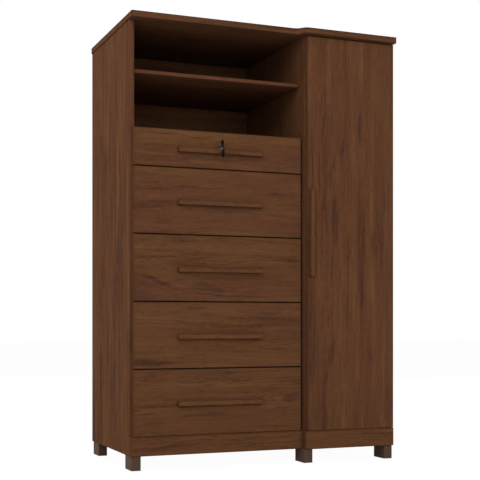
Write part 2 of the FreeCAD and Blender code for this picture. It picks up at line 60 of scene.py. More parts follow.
# --- Shader maths --------------------------------------------------------------------------------
class Value:
    """A socket in a node tree. Arithmetic on it adds Math nodes."""

    def __init__(self, nodes, socket):
        self.nodes = nodes
        self.socket = socket

    def math(self, operation, *values):
        return self.nodes.node("ShaderNodeMath", {"operation": operation}, dict(enumerate(values)))

    def __add__(self, other):
        return self.math("ADD", self, other)

    def __radd__(self, other):
        return self.math("ADD", other, self)

    def __sub__(self, other):
        return self.math("SUBTRACT", self, other)

    def __rsub__(self, other):
        return self.math("SUBTRACT", other, self)

    def __mul__(self, other):
        return self.math("MULTIPLY", self, other)

    def __rmul__(self, other):
        return self.math("MULTIPLY", other, self)

    def __truediv__(self, other):
        return self.math("DIVIDE", self, other)

    def __pow__(self, other):
        return self.math("POWER", self, other)

    def larger(self, other):
        return self.math("MAXIMUM", self, other)

    def smaller(self, other):
        return self.math("MINIMUM", self, other)

    def size(self):
        return self.math("ABSOLUTE", self)

    def between(self, none, full):
        """0 at none and beyond, 1 at full and beyond, and smooth between them."""
        settings = {"interpolation_type": "SMOOTHSTEP"}
        return self.nodes.node("ShaderNodeMapRange", settings, {0: self, 1: none, 2: full})


class Nodes:
    """A node tree that is written as expressions."""

    def __init__(self, tree):
        self.tree = tree

    def node(self, kind, settings=None, inputs=None, output=0):
        made = self.tree.nodes.new(kind)
        for name, setting in (settings or {}).items():
            setattr(made, name, setting)
        for name, value in (inputs or {}).items():
            self.feed(made.inputs[name], value)
        return Value(self, made.outputs[output])

    def feed(self, socket, value):
        if isinstance(value, Value):
            self.tree.links.new(value.socket, socket)
        else:
            socket.default_value = value

    def place(self):
        return self.node("ShaderNodeTexCoord", output="Object")

    def moved(self, vector, offset):
        return self.node("ShaderNodeVectorMath", {"operation": "ADD"}, {0: vector, 1: offset})

    def parts(self, vector):
        """The x, y and z of a vector."""
        first = self.node("ShaderNodeSeparateXYZ", {}, {0: vector})
        return [Value(self, socket) for socket in first.socket.node.outputs]

    def joined(self, x, y, z):
        return self.node("ShaderNodeCombineXYZ", {}, {0: x, 1: y, 2: z})

    def noise(self, vector, scale=1.0, detail=2.0, roughness=0.5):
        inputs = {"Vector": vector, "Scale": scale, "Detail": detail, "Roughness": roughness}
        return self.node("ShaderNodeTexNoise", {}, inputs)

    def mix(self, low, high, amount):
        inputs = {0: amount, 6: low, 7: high}       # sockets 6 and 7 are its two colours
        return self.node("ShaderNodeMix", {"data_type": "RGBA"}, inputs, output=2)


class Finish(Nodes):
    """A material. Its constants are given with _ for each space in a socket's name."""

    def __init__(self, name, **constants):
        self.material = bpy.data.materials.new(name)
        self.material.use_nodes = True
        super().__init__(self.material.node_tree)
        self.shader = self.tree.nodes["Principled BSDF"]
        for socket, number in constants.items():
            self.set(socket.replace("_", " "), number)

    def set(self, socket, value):
        self.feed(self.shader.inputs[socket], value)

    def bump(self, height, strength, distance):
        inputs = {"Height": height, "Strength": strength, "Distance": distance}
        self.set("Normal", self.node("ShaderNodeBump", {}, inputs))


def srgb(red, green, blue):
    """A colour written as in a paint chart, 0 to 255, as the shader wants it."""
    def linear(part):
        share = part / 255
        return share / 12.92 if share <= 0.04045 else ((share + 0.055) / 1.055) ** 2.4
    return (linear(red), linear(green), linear(blue), 1.0)


def brighter(colour, factor):
    return tuple(part * factor for part in colour[:3]) + (1.0,)


# --- Walnut print --------------------------------------------------------------------------------
WALNUT_OLIVE = srgb(90, 60, 37)
WALNUT_RED = srgb(87, 55, 38)
WALNUT_PALE = srgb(108, 73, 47)
WALNUT_DARK = srgb(68, 42, 30)
WALNUT_SMUDGE = srgb(60, 40, 33)
PORE = srgb(47, 28, 20)

# Which axes run along the grain, across it and into the board, by the axis of the grain
GRAIN_AXES = {"x": (0, 2, 1), "y": (1, 2, 0), "z": (2, 0, 1)}
SEED_STEP = Vector((3.1, 7.7, 5.3))

# Patterns of the print: scale along the grain, scale across it, detail, roughness
BENDS = {
    "knots": (3.2, 7, 1, 0.5),
    "drift": (1.2, 3, 2, 0.5),
    "swirl": (9, 18, 4, 0.6),
}
PATTERNS = {
    "tone": (1.0, 8, 3, 0.5),
    "streaks": (1.9, 46, 6, 0.66),
    "veins": (3.2, 24, 4, 0.6),
    "crowds": (2.4, 6, 2, 0.5),
    "contours": (1.1, 30, 4, 0.6),
    "fibres": (8, 330, 4, 0.68),
    "ticks": (10, 150, 2, 0.5),
    "pores": (40, 900, 1, 0.5),
    "flecks": (48, 170, 3, 0.6),
    "smudges": (5, 40, 5, 0.65),
}
KNOT_RANGE = (0.62, 0.78)
DRIFT_ASIDE, DRIFT_DEEP = 0.06, 0.05                # metres
SWIRL_ASIDE, KNOT_ASIDE, MARK_ASIDE = 0.006, 0.06, 0.030

TONE_RANGE = (0.38, 0.62)
CROWD_RANGE, CROWD_LEAST, CROWD_MORE = (0.40, 0.62), 0.45, 0.95
CONTOUR_RANGE, CONTOUR_TONE, CONTOUR_STRENGTH = (0.020, 0.004), (0.42, 0.6), 0.6
SMUDGE_RANGE, SMUDGE_STRENGTH, KNOT_SHADE = (0.37, 0.57), 0.78, 0.7

# Layers of colour in their order: paint, pattern, where in the pattern the layer has none and full
# strength, that strength, and whether it crowds together in places
FIGURE_LAYERS = [
    (WALNUT_DARK, "veins", 0.52, 0.68, 0.32, True),
    (WALNUT_PALE, "veins", 0.46, 0.32, 0.22, False),
    (WALNUT_DARK, "streaks", 0.50, 0.70, 0.70, True),
    (WALNUT_PALE, "streaks", 0.46, 0.30, 0.45, False),
]
FIBRE_LAYERS = [
    (WALNUT_PALE, "fibres", 0.48, 0.30, 0.30, False),
    (PORE, "fibres", 0.52, 0.74, 0.30, False),
    (PORE, "ticks", 0.66, 0.78, 0.45, False),
    (PORE, "flecks", 0.50, 0.72, 0.22, True),
    (WALNUT_PALE, "flecks", 0.48, 0.30, 0.18, False),
    (PORE, "pores", 0.62, 0.74, 0.40, False),
]

# Smudges of the print on each board, in mm: middle along the grain and across it, half length,
# half width, lean, strength
MARKS = {
    "drawer_1_front": [(-226, 1031, 50, 5, 0, 0.6), (-250, 971, 60, 6, 0, 0.5)],
    "drawer_2_front": [
        (-216, 875, 240, 4, 0.02, 0.7),
        (58, 858, 62, 9, 0, 1.0),
        (-158, 810, 125, 14, 0, 0.45),
        (-351, 769, 34, 12, 0, 0.5),
    ],
    "drawer_3_front": [
        (35, 661, 85, 6, 0, 0.7),
        (90, 655, 30, 11, 0, 0.7),
        (-360, 577, 74, 9, -0.37, 1.0),
        (-183, 562, 86, 15, -0.06, 1.0),
        (-140, 538, 170, 4, -0.03, 0.8),
    ],
    "drawer_4_front": [
        (-243, 499, 55, 5, 0, 0.6),
        (38, 484, 68, 6, 0, 0.6),
        (-24, 445, 145, 8, 0.03, 0.8),
        (-384, 333, 70, 13, -0.08, 0.9),
    ],
    "drawer_5_front": [
        (-150, 298, 66, 6, 0, 0.8),
        (-49, 228, 56, 13, -0.5, 1.0),
        (88, 208, 38, 18, 0, 0.9),
        (-409, 172, 40, 5, 0, 0.8),
        (-205, 166, 92, 7, 0.02, 0.7),
    ],
    "door_panel": [
        (1160, 195, 105, 4, 0, 0.8),
        (1095, 324, 66, 7, 0, 1.0),
        (1024, 257, 32, 11, 0.15, 1.0),
        (950, 221, 62, 8, 0.1, 0.9),
        (792, 232, 100, 16, 0.03, 1.0),
        (625, 219, 72, 5, 0.03, 0.8),
        (536, 331, 48, 8, 0, 0.8),
        (364, 222, 60, 13, 0.2, 0.8),
        (250, 197, 90, 7, 0, 0.8),
    ],
    "left_side_panel": [
        (1190, -60, 120, 14, 0.02, 0.7),
        (820, 120, 150, 10, -0.03, 0.7),
        (430, -90, 120, 12, 0.02, 0.6),
    ],
}
MARK_CORE, MARK_RIM = 0.15, 1.25                    # squares of the distance from its middle
# EDGE_FADE gives, as shares of edge_width, where the painted shade along a board's edges starts
# and where it is full
EDGE_FADE = (1.7, 0.3)                              # where an edge's shade starts and is full
TOP_CURVE_START, TOP_CURVE_END = -0.040, 0.008      # along X, from the divider's left face
TOP_STEP = 0.027


def edge_nearness(finish, node):
    """A point's distances to the two nearest faces of its board, added up: 0 on an edge."""
    low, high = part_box(node)
    parts = finish.parts(finish.place())
    distances = []
    for axis, part in enumerate(parts):
        centre, half = (low[axis] + high[axis]) / 2, (high[axis] - low[axis]) / 2
        if node == "top_panel" and axis == 1:
            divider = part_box("divider_panel")[0][0]
            curve = parts[0].between(divider + TOP_CURVE_START, divider + TOP_CURVE_END)
            to_front = part - (low[1] + TOP_STEP) + curve * TOP_STEP
            distances.append(to_front.smaller(high[1] - part))
        else:
            distances.append(half - (part - centre).size())
    x, y, z = distances
    return x + y + z - x.larger(y).larger(z)


def marks_of_print(finish, node, along, swirl):
    """How strongly the smudges of a board's print show, from 0 to 1."""
    parts = finish.parts(finish.place())
    run, side, depth = [parts[axis] for axis in GRAIN_AXES[along]]
    if node == "left_side_panel":
        side = depth                                # its wide faces lie along Y
    shade = None
    for centre, across, half_length, half_width, lean, strength in MARKS.get(node, []):
        ahead = run - centre * MM
        aside = side - across * MM - ahead * lean + swirl * MARK_ASIDE
        reach = (ahead / (half_length * MM)) ** 2 + (aside / (half_width * MM)) ** 2
        mark = reach.between(MARK_RIM, MARK_CORE) * strength
        shade = mark if shade is None else shade.larger(mark)
    return shade


def walnut_print(finish, node, along, seed, figure=1.0, edge_shade=0.45, edge_width=0.0018):
    """Colour, fibres and pores of the walnut print, with its grain along one axis.

    The seed moves the print, figure is how strongly its streaks stand out, and edge_shade how dark
    the painted shade along the board's edges is.
    """
    parts = finish.parts(finish.moved(finish.place(), SEED_STEP * seed))
    run, side, depth = [parts[axis] for axis in GRAIN_AXES[along]]

    def pattern(look, aside, deep):
        along_scale, across_scale, detail, roughness = look
        place = finish.joined(run * along_scale, aside * across_scale, deep * across_scale)
        return finish.noise(place, detail=detail, roughness=roughness)

    knots = pattern(BENDS["knots"], side, depth).between(*KNOT_RANGE)
    drift = pattern(BENDS["drift"], side, depth) - 0.5
    swirl = pattern(BENDS["swirl"], side, depth) - 0.5
    aside = side + drift * DRIFT_ASIDE + swirl * (SWIRL_ASIDE + knots * KNOT_ASIDE)
    deep = depth + drift * DRIFT_DEEP
    patterns = {name: pattern(look, aside, deep) for name, look in PATTERNS.items()}
    crowds = CROWD_LEAST + patterns["crowds"].between(*CROWD_RANGE) * CROWD_MORE

    def laid_on(colour, layers, share):
        for paint, name, none, full, strength, crowded in layers:
            amount = patterns[name].between(none, full) * (strength * share)
            colour = finish.mix(colour, paint, amount * crowds if crowded else amount)
        return colour

    tone = patterns["tone"]
    colour = finish.mix(WALNUT_RED, WALNUT_OLIVE, tone.between(*TONE_RANGE))
    colour = laid_on(colour, FIGURE_LAYERS, figure)
    contours = (patterns["contours"] - 0.5).size().between(*CONTOUR_RANGE)
    contours = contours * tone.between(*CONTOUR_TONE) * CONTOUR_STRENGTH
    colour = finish.mix(colour, WALNUT_DARK, contours)

    shade = knots * KNOT_SHADE
    marks = marks_of_print(finish, node, along, swirl)
    if marks is not None:
        shade = shade.larger(marks)
    smudges = patterns["smudges"].between(*SMUDGE_RANGE) * shade * SMUDGE_STRENGTH
    colour = finish.mix(colour, WALNUT_SMUDGE, smudges)
    colour = laid_on(colour, FIBRE_LAYERS, 1)
    # Painted shade: the board's edges are darkened toward the pore colour. This stands in for the
    # shade on rounded arrises and in the gaps beside them.
    if edge_shade:
        start, full = [edge_width * share for share in EDGE_FADE]
        line = edge_nearness(finish, node).between(start, full)
        colour = finish.mix(colour, PORE, line * edge_shade)
    return colour, patterns["fibres"], patterns["pores"]


# --- Finishes ------------------------------------------------------------------------------------
RAW_BROWN, RAW_PALE, RAW_DAMP = srgb(98, 71, 50), srgb(122, 91, 66), srgb(84, 60, 43)
SHEET_BROWN = srgb(74, 48, 33)
FOOT_BROWN = srgb(76, 58, 47)
KEY_BLACK = srgb(15, 13, 12)
ZINC_DARK, ZINC_BRIGHT = srgb(158, 160, 163), srgb(186, 188, 190)
CHROME_DARK, CHROME_BRIGHT = srgb(198, 199, 202), srgb(226, 227, 230)
NICKEL_DARK, NICKEL_BRIGHT = srgb(60, 54, 49), srgb(84, 77, 71)
BEECH_DARK, BEECH_PALE = srgb(176, 134, 92), srgb(206, 168, 124)
FLECK_SEED_STEP = Vector((1.7, 4.1, 2.9))


def laminate(node, along, seed, **looks):
    """Walnut print, with painted shade along the board's edges unless edge_shade is 0, under a
    satin overlay.
    """
    finish = Finish(f"walnut_{node}", IOR=1.035)
    colour, fibres, pores = walnut_print(finish, node, along, seed, **looks)
    finish.set("Base Color", colour)
    finish.set("Roughness", 0.56 + fibres * 0.14)
    finish.bump(fibres * 0.6 - pores * 0.4, strength=0.12, distance=0.3 * MM)
    return finish.material


def printed_sheet(name, back_y, seed):
    """Hardboard, printed on the face that looks into the cabinet and raw on its back."""
    finish = Finish(name, IOR=1.05)
    colour, fibres, _ = walnut_print(finish, name, "x", seed, edge_shade=0)
    behind = finish.parts(finish.place())[1].between(back_y - 0.8 * MM, back_y - 0.4 * MM)
    felt = finish.noise(finish.place(), scale=420, detail=5, roughness=0.7)
    damp = finish.noise(finish.place(), scale=4, detail=4, roughness=0.6)
    raw = finish.mix(RAW_BROWN, RAW_PALE, felt.between(0.32, 0.68))
    raw = finish.mix(raw, RAW_DAMP, damp.between(0.42, 0.66) * 0.22)
    finish.set("Base Color", finish.mix(colour, raw, behind))
    finish.set("Roughness", 0.55 + fibres * 0.1 + behind * 0.25)
    finish.bump(fibres * 0.5 + felt * behind, strength=0.12, distance=0.3 * MM)
    return finish.material


def hardboard(name, base, seed):
    """Thin hardboard with a matt printed face and a faint fleck."""
    finish = Finish(name, IOR=1.1)
    place = finish.moved(finish.place(), FLECK_SEED_STEP * seed)
    fleck = finish.noise(place, scale=420, detail=3)
    cloud = finish.noise(place, scale=6, detail=3)
    dark = brighter(base, 0.6)
    colour = finish.mix(dark, base, cloud.between(0.3, 0.7) * 0.5 + 0.5)
    finish.set("Base Color", finish.mix(colour, dark, fleck.between(0.5, 0.75) * 0.5))
    finish.set("Roughness", 0.7 + fleck * 0.15)
    finish.bump(fleck, strength=0.1, distance=0.3 * MM)
    return finish.material


def moulded(name, base, roughness, **constants):
    """Moulded plastic with a fine spark-eroded texture."""
    finish = Finish(name, **constants)
    grain = finish.noise(finish.place(), scale=1600, detail=2)
    patch = finish.noise(finish.place(), scale=30, detail=3)
    worn = patch.between(0.5, 0.8) * 0.35
    finish.set("Base Color", finish.mix(base, brighter(base, 1.3), worn))
    finish.set("Roughness", roughness + grain * 0.12)
    finish.bump(grain, strength=0.12, distance=0.2 * MM)
    return finish.material


def zinc(name):
    """Zinc-plated pressed steel, with soft spangle and rolling lines."""
    finish = Finish(name, Metallic=1.0)
    place = finish.place()
    x, y, z = finish.parts(place)
    spangle = finish.noise(place, scale=260, detail=3)
    rolled = finish.noise(finish.joined(x * 900, y * 12, z * 900), detail=2)
    finish.set("Base Color", finish.mix(ZINC_DARK, ZINC_BRIGHT, spangle.between(0.35, 0.65)))
    finish.set("Roughness", 0.30 + spangle * 0.15 + rolled * 0.08)
    finish.bump(rolled, strength=0.05, distance=0.2 * MM)
    return finish.material


def plate(name, dark, bright, roughness):
    """Chrome or nickel plate with a trace of fine handling marks."""
    finish = Finish(name, Metallic=1.0)
    marks = finish.noise(finish.place(), scale=700, detail=4)
    haze = finish.noise(finish.place(), scale=60, detail=2)
    finish.set("Base Color", finish.mix(dark, bright, haze.between(0.3, 0.7)))
    finish.set("Roughness", roughness + marks.between(0.5, 0.8) * 0.12 + haze * 0.05)
    finish.bump(marks, strength=0.03, distance=0.1 * MM)
    return finish.material


def beech(name):
    """Raw fluted dowel wood."""
    finish = Finish(name, Specular_IOR_Level=0.3)
    x, y, z = finish.parts(finish.place())
    fleck = finish.noise(finish.joined(x * 90, y * 400, z * 400), detail=3)
    finish.set("Base Color", finish.mix(BEECH_DARK, BEECH_PALE, fleck.between(0.35, 0.65)))
    finish.set("Roughness", 0.62 + fleck * 0.1)
    finish.bump(fleck, strength=0.15, distance=0.3 * MM)
    return finish.material


ZINC = zinc("zinc_plate")
CHROME = plate("chrome_plate", CHROME_DARK, CHROME_BRIGHT, roughness=0.10)
NICKEL = plate("dull_nickel", NICKEL_DARK, NICKEL_BRIGHT, roughness=0.44)
FOOT_PLASTIC = moulded("foot_plastic", FOOT_BROWN, roughness=0.6, IOR=1.15)
KEY_PLASTIC = moulded("key_plastic", KEY_BLACK, roughness=0.46, IOR=1.2)


# --- Dressing the CAD nodes ----------------------------------------------------------------------
UPRIGHT_BOARDS = ["left_side_panel", "divider_panel", "right_side_panel", "door_panel"]
LEVEL_BOARDS = ["top_panel", "left_plinth", "right_plinth", "open_shelf", "drawer_bay_top"]
LEVEL_BOARDS += ["shoe_shelf", "left_bottom_panel", "right_bottom_panel"]
LEVEL_BOARDS += [f"drawer_{number}_front" for number in DRAWERS]
BOARD_SEEDS = {node: seed for seed, node in enumerate(UPRIGHT_BOARDS + LEVEL_BOARDS, start=1)}
HANDLE_SEED, BOX_SEED, SHEET_SEED = 30, 40, 50
# edge_shade and edge_width set the painted shade along a board's edges
BOARD_LOOKS = {
    "left_side_panel": {"figure": 1.9, "edge_shade": 0.25},
    "right_side_panel": {"figure": 1.9},
    "door_panel": {"figure": 1.3},
    "top_panel": {"edge_shade": 0.75, "edge_width": 0.0024},
}


def dress(node, material):
    """Gives a CAD node its finish."""
    slots = frame["nodes"][node].data.materials
    slots.clear()
    slots.append(material)


def dress_boards():
    for node, seed in BOARD_SEEDS.items():
        along = "z" if node in UPRIGHT_BOARDS else "x"
        dress(node, laminate(node, along, seed, **BOARD_LOOKS.get(node, {})))
    handles = [f"drawer_{number}_handle" for number in DRAWERS] + ["door_handle"]
    for seed, node in enumerate(handles, start=HANDLE_SEED):
        along = "z" if node == "door_handle" else "x"
        # Handles get a stronger, narrower painted shade along their edges
        dress(node, laminate(node, along, seed, edge_shade=0.6, edge_width=0.0017))
    for seed, number in enumerate(DRAWERS, start=BOX_SEED):
        box = f"drawer_{number}_box"
        dress(box, laminate(box, "y", seed, edge_shade=0))


def dress_the_rest():
    for seed, number in enumerate(DRAWERS):
        bottom = f"drawer_{number}_bottom"
        dress(bottom, hardboard(f"hardboard_{bottom}", SHEET_BROWN, seed))
        dress(f"drawer_{number}_runners", ZINC)
    for node in ["cabinet_runners", "hinge_arms", "hinge_cups", "shelf_pins", "lock_cam"]:
        dress(node, ZINC)
    for node in ["hanging_rail", "rail_sockets"]:
        dress(node, CHROME)
    for node in ["lock_body", "lock_plug"]:
        dress(node, NICKEL)
    dress("feet", FOOT_PLASTIC)
    dress("dowels", beech("beech_dowel"))


# --- Making pieces -------------------------------------------------------------------------------
def object_mode():
    if bpy.context.mode != "OBJECT":
        bpy.ops.object.mode_set(mode="OBJECT")


def select_none():
    object_mode()
    bpy.ops.object.select_all(action="DESELECT")


def select_only(*chosen):
    select_none()
    for piece in chosen:
        piece.select_set(True)
    bpy.context.view_layer.objects.active = chosen[0]


def edit_all(piece):
    """Enters edit mode with the whole mesh selected."""
    select_only(piece)
    bpy.ops.object.mode_set(mode="EDIT")
    bpy.ops.mesh.select_all(action="SELECT")


def pick(piece, kind, test):
    """Enters edit mode with those vertices, edges or faces selected that pass the test."""
    select_only(piece)
    bpy.ops.object.mode_set(mode="EDIT")
    bpy.ops.mesh.select_mode(type=kind)
    bpy.ops.mesh.select_all(action="DESELECT")
    object_mode()
    mesh = piece.data
    items = {"VERT": mesh.vertices, "EDGE": mesh.edges, "FACE": mesh.polygons}[kind]
    for item in items:
        item.select = test(item)
    bpy.ops.object.mode_set(mode="EDIT")


def settle(piece):
    """Puts a piece's place, turn and size into its mesh."""
    select_only(piece)
    bpy.ops.object.transform_apply(location=True, rotation=True, scale=True)


def block(name, low, high):
    select_none()
    low, high = Vector(low), Vector(high)
    bpy.ops.mesh.primitive_cube_add(size=1, location=(low + high) / 2)
    made = bpy.context.object
    made.name = name
    made.scale = high - low
    settle(made)
    return made


def turned(name, profile, sides):
    """A piece turned on the Z axis, from a profile of radius and height pairs."""
    select_none()
    radius, height = profile[0]
    bpy.ops.mesh.primitive_circle_add(
        vertices=sides, radius=radius, fill_type="NGON", location=(0, 0, height)
    )
    made = bpy.context.object
    made.name = name
    settle(made)
    edit_all(made)
    for (old_radius, old_height), (radius, height) in zip(profile, profile[1:]):
        bpy.ops.mesh.extrude_region_move(
            TRANSFORM_OT_translate={"value": (0, 0, height - old_height)}
        )
        grow = radius / old_radius
        bpy.ops.transform.resize(value=(grow, grow, 1), center_override=(0, 0, height))
    bpy.ops.mesh.select_all(action="SELECT")
    bpy.ops.mesh.normals_make_consistent(inside=False)
    object_mode()
    return made


def apply_modifier(piece, kind, **settings):
    select_only(piece)
    modifier = piece.modifiers.new(kind.lower(), kind)
    for name, setting in settings.items():
        setattr(modifier, name, setting)
    bpy.ops.object.modifier_apply(modifier=modifier.name)


def cut_away(piece, cutter):
    apply_modifier(piece, "BOOLEAN", operation="DIFFERENCE", solver="EXACT", object=cutter)
    bpy.data.objects.remove(cutter)


def smooth(piece, degrees=35):
    select_only(piece)
    bpy.ops.object.shade_smooth_by_angle(angle=math.radians(degrees))


def copy_to(model, name, seat, direction):
    """A copy of a model made along +Z, with its origin at the seat and its Z axis turned."""
    made = bpy.data.objects.new(name, model.data.copy())
    bpy.context.scene.collection.objects.link(made)
    made.location = seat
    made.rotation_euler = Vector(direction).to_track_quat("Z", "Y").to_euler()
    settle(made)
    return made


def joined_as(name, pieces):
    select_only(*pieces)
    if len(pieces) > 1:
        bpy.ops.object.join()
    made = bpy.context.object
    made.name = name
    return made


def finished(piece, body, material, slot, *replaced):
    """Gives a piece its finish, the body it rides on and the CAD nodes it stands for."""
    piece.data.materials.clear()
    piece.data.materials.append(material)
    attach(piece, body)
    if replaced:
        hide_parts(*replaced)


def corners(node):
    return [Vector(corner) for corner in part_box(node)]


def middle(node, axis):
    low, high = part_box(node)
    return (low[axis] + high[axis]) / 2


def evenly(start, end, count):
    return [start + (end - start) * step / (count - 1) for step in range(count)]


def solids_of(node):
    """The vertices of each solid of a CAD node."""
    twin = bpy.data.objects.new("twin", frame["nodes"][node].data.copy())
    bpy.context.scene.collection.objects.link(twin)
    edit_all(twin)
    bpy.ops.mesh.remove_doubles(threshold=0.01 * MM)
    bpy.ops.mesh.separate(type="LOOSE")
    object_mode()
    found = []
    for part in list(bpy.context.selected_objects):
        found.append([vertex.co.copy() for vertex in part.data.vertices])
        bpy.data.objects.remove(part)
    return found


# --- Screws --------------------------------------------------------------------------------------
HEAD_RADIUS, HEAD_HEIGHT = 3.5 * MM, 1.4 * MM
HEAD_OUTLINE = [(0.72, 1), (0.93, 0.72), (1, 0.3), (1, 0)]      # shares of its radius and height
CROSS_REACH, CROSS_HALF_WIDTH, CROSS_DEPTH = HEAD_RADIUS * 0.55, 0.38 * MM, 0.9 * MM
CROSS_TAPER = 0.7
SHANK_RADIUS, THREAD_RADIUS, THREAD_PITCH = 1.45 * MM, 1.95 * MM, 1.6 * MM
THREAD_START, UNTHREADED = 0.8 * MM, 3 * MM
TIP_LENGTH, TIP_RADIUS = 2.2 * MM, 0.15 * MM
SCREW_SIDES = 14


def screw_model(length):
    """A cross-head screw along +Z, with the underside of its head at the origin."""
    profile = [(HEAD_RADIUS * wide, -HEAD_HEIGHT * high) for wide, high in HEAD_OUTLINE]
    profile += [(SHANK_RADIUS, 0.02 * MM)]
    for turn in range(int((length - UNTHREADED) / THREAD_PITCH)):
        start = THREAD_START + turn * THREAD_PITCH
        profile += [(SHANK_RADIUS, start), (THREAD_RADIUS, start + THREAD_PITCH * 0.35)]
        profile += [(SHANK_RADIUS, start + THREAD_PITCH * 0.7)]
    profile += [(SHANK_RADIUS, length - TIP_LENGTH), (TIP_RADIUS, length)]
    made = turned("screw_model", profile, SCREW_SIDES)
    above, floor_z = -HEAD_HEIGHT - 0.5 * MM, CROSS_DEPTH - HEAD_HEIGHT
    for x, y in [(CROSS_REACH, CROSS_HALF_WIDTH), (CROSS_HALF_WIDTH, CROSS_REACH)]:
        slot = block("slot", (-x, -y, above), (x, y, floor_z))
        pick(slot, "VERT", lambda vertex: vertex.co.z > above + 0.1 * MM)
        taper = (CROSS_TAPER, CROSS_TAPER, 1)
        bpy.ops.transform.resize(value=taper, center_override=(0, 0, floor_z))
        object_mode()
        cut_away(made, slot)
    smooth(made, 30)
    return made


def screws_of(node, models):
    """A modelled screw in the place of each plain one of a node."""
    copies = []
    for points in solids_of(node):
        low = Vector([min(point[axis] for point in points) for axis in range(3)])
        high = Vector([max(point[axis] for point in points) for axis in range(3)])
        size, centre = high - low, (low + high) / 2
        axis = max(range(3), key=lambda index: size[index])
        beside = (axis + 1) % 3
        head = [point[axis] for point in points if (point - centre)[beside] > SHANK_RADIUS * 2]
        head_at_low = sum(head) / len(head) < centre[axis]
        direction = Vector((0, 0, 0))
        direction[axis] = 1 if head_at_low else -1
        seat = centre.copy()
        seat[axis] = low[axis] + HEAD_HEIGHT if head_at_low else high[axis] - HEAD_HEIGHT
        length = round((size[axis] - HEAD_HEIGHT) / MM, 2)
        if length not in models:
            models[length] = screw_model(length * MM)
        copies.append(copy_to(models[length], "screw", seat, direction))
    return joined_as(f"cross_head_{node}", copies)


def screws(steel):
    models = {}
    places = {"cabinet_screws": "cabinet", "door_screws": "door"}
    places.update({f"drawer_{number}_screws": f"drawer_{number}" for number in DRAWERS})
    for node, body in places.items():
        finished(screws_of(node, models), body, steel, "zinc_steel", node)
    for model in models.values():
        bpy.data.objects.remove(model)


# --- Back ----------------------------------------------------------------------------------------
# In mm: how thick a nail's head is, and the nail's radius and height from head to tip
NAIL_HEAD = 0.42
NAIL_PROFILE = [(1.1, -NAIL_HEAD), (2.0, -0.28), (2.3, 0), (0.75, 0.02), (0.75, 13), (0.08, 15)]
NAIL_SIDES = 8
NAILS_UP, NAILS_ACROSS_LEFT, NAILS_ACROSS_RIGHT = 11, 6, 4
NAIL_FROM_SEAM, NAIL_FROM_TOP = 4.5 * MM, 12 * MM
SEAM_GAP = 1.0 * MM
NAILED_BOARDS = ["left_bottom_panel", "drawer_bay_top", "open_shelf"]


def nail_model():
    """A flat-headed nail along +Z, with the underside of its head at the origin."""
    profile = [(radius * MM, height * MM) for radius, height in NAIL_PROFILE]
    made = turned("nail_model", profile, NAIL_SIDES)
    smooth(made, 40)
    return made


def back_sheet(side, low, high, seed):
    sheet = block(f"{side}_back_sheet", low, high)
    apply_modifier(sheet, "BEVEL", width=0.4 * MM, segments=2)
    smooth(sheet)
    finish = printed_sheet(f"printed_{side}_sheet", high[1], seed)
    finished(sheet, "cabinet", finish, "hardboard", "back_sheets")


def nail_seats(left, right, top, boards, across):
    """X and Z of a sheet's nails, up both of its edges and along the boards behind it."""
    bottom = middle(boards[0], 2)
    seats = [(x, z) for z in evenly(bottom, top, NAILS_UP) for x in (left, right)]
    for board in boards:
        seats += [(x, middle(board, 2)) for x in evenly(left, right, across)[1:-1]]
    return seats


def driven(model, seats, sheet_face):
    return [copy_to(model, "nail", (x, sheet_face, z), (0, -1, 0)) for x, z in seats]


def back(steel):
    """Two hardboard sheets with a seam on the divider, nailed to the panels' back edges."""
    low, high = corners("back_sheets")
    high.y -= NAIL_HEAD * MM
    top = high.z - NAIL_FROM_TOP
    left, right = middle("left_side_panel", 0), middle("right_side_panel", 0)
    seam = middle("divider_panel", 0)
    model = nail_model()

    back_sheet("left", low, (seam - SEAM_GAP / 2, high.y, high.z), SHEET_SEED)
    seats = nail_seats(left, seam - NAIL_FROM_SEAM, top, NAILED_BOARDS, NAILS_ACROSS_LEFT)
    nails = driven(model, seats, high.y)

    back_sheet("right", (seam + SEAM_GAP / 2, low.y, low.z), high, SHEET_SEED + 1)
    seats = nail_seats(seam + NAIL_FROM_SEAM, right, top, NAILED_BOARDS[:1], NAILS_ACROSS_RIGHT)
    nails += driven(model, seats, high.y)

    bpy.data.objects.remove(model)
    finished(joined_as("back_nails", nails), "cabinet", steel, "zinc_steel")


# --- Plinth --------------------------------------------------------------------------------------
PLINTH_BAND = 1.8 * MM


def plinth_bands():
    """The edge band that caps each plinth board and narrows the gap under the fronts."""
    for side in ("left", "right"):
        low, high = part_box(f"{side}_plinth")
        name = f"{side}_plinth_band"
        band = block(name, (low[0], low[1], high[2]), (high[0], high[1], high[2] + PLINTH_BAND))
        apply_modifier(band, "BEVEL", width=0.3 * MM, segments=2)
        smooth(band)
        seed = BOARD_SEEDS[f"{side}_plinth"]
        finished(band, "cabinet", laminate(name, "x", seed, edge_shade=0), "walnut_board")


# --- Door fittings -------------------------------------------------------------------------------
ADJUSTER_LENGTH = 4 * MM
ADJUSTER_INSETS = (12 * MM, 29 * MM)                # from the back end of a hinge arm
STOP_PROFILE = [(2.6 * MM, -0.9 * MM), (3.5 * MM, -0.6 * MM), (3.9 * MM, 0)]
STOP_SIDES = 20
STOP_INSET = 50 * MM                                # from the door's top and bottom


def hinge_adjusters(steel):
    """Two adjusting screws on the side of each hinge arm that faces into the cabinet."""
    model = screw_model(ADJUSTER_LENGTH)
    copies = []
    for points in sorted(solids_of("hinge_arms"), key=lambda points: points[0].z):
        z = sum(point.z for point in points) / len(points)
        back_end = max(point.y for point in points)
        face_x = min(point.x for point in points if point.y > back_end - 1 * MM)
        for inset in ADJUSTER_INSETS:
            copies.append(copy_to(model, "adjuster", (face_x, back_end - inset, z), (1, 0, 0)))
    bpy.data.objects.remove(model)
    finished(joined_as("hinge_adjusters", copies), "cabinet", steel, "zinc_steel")


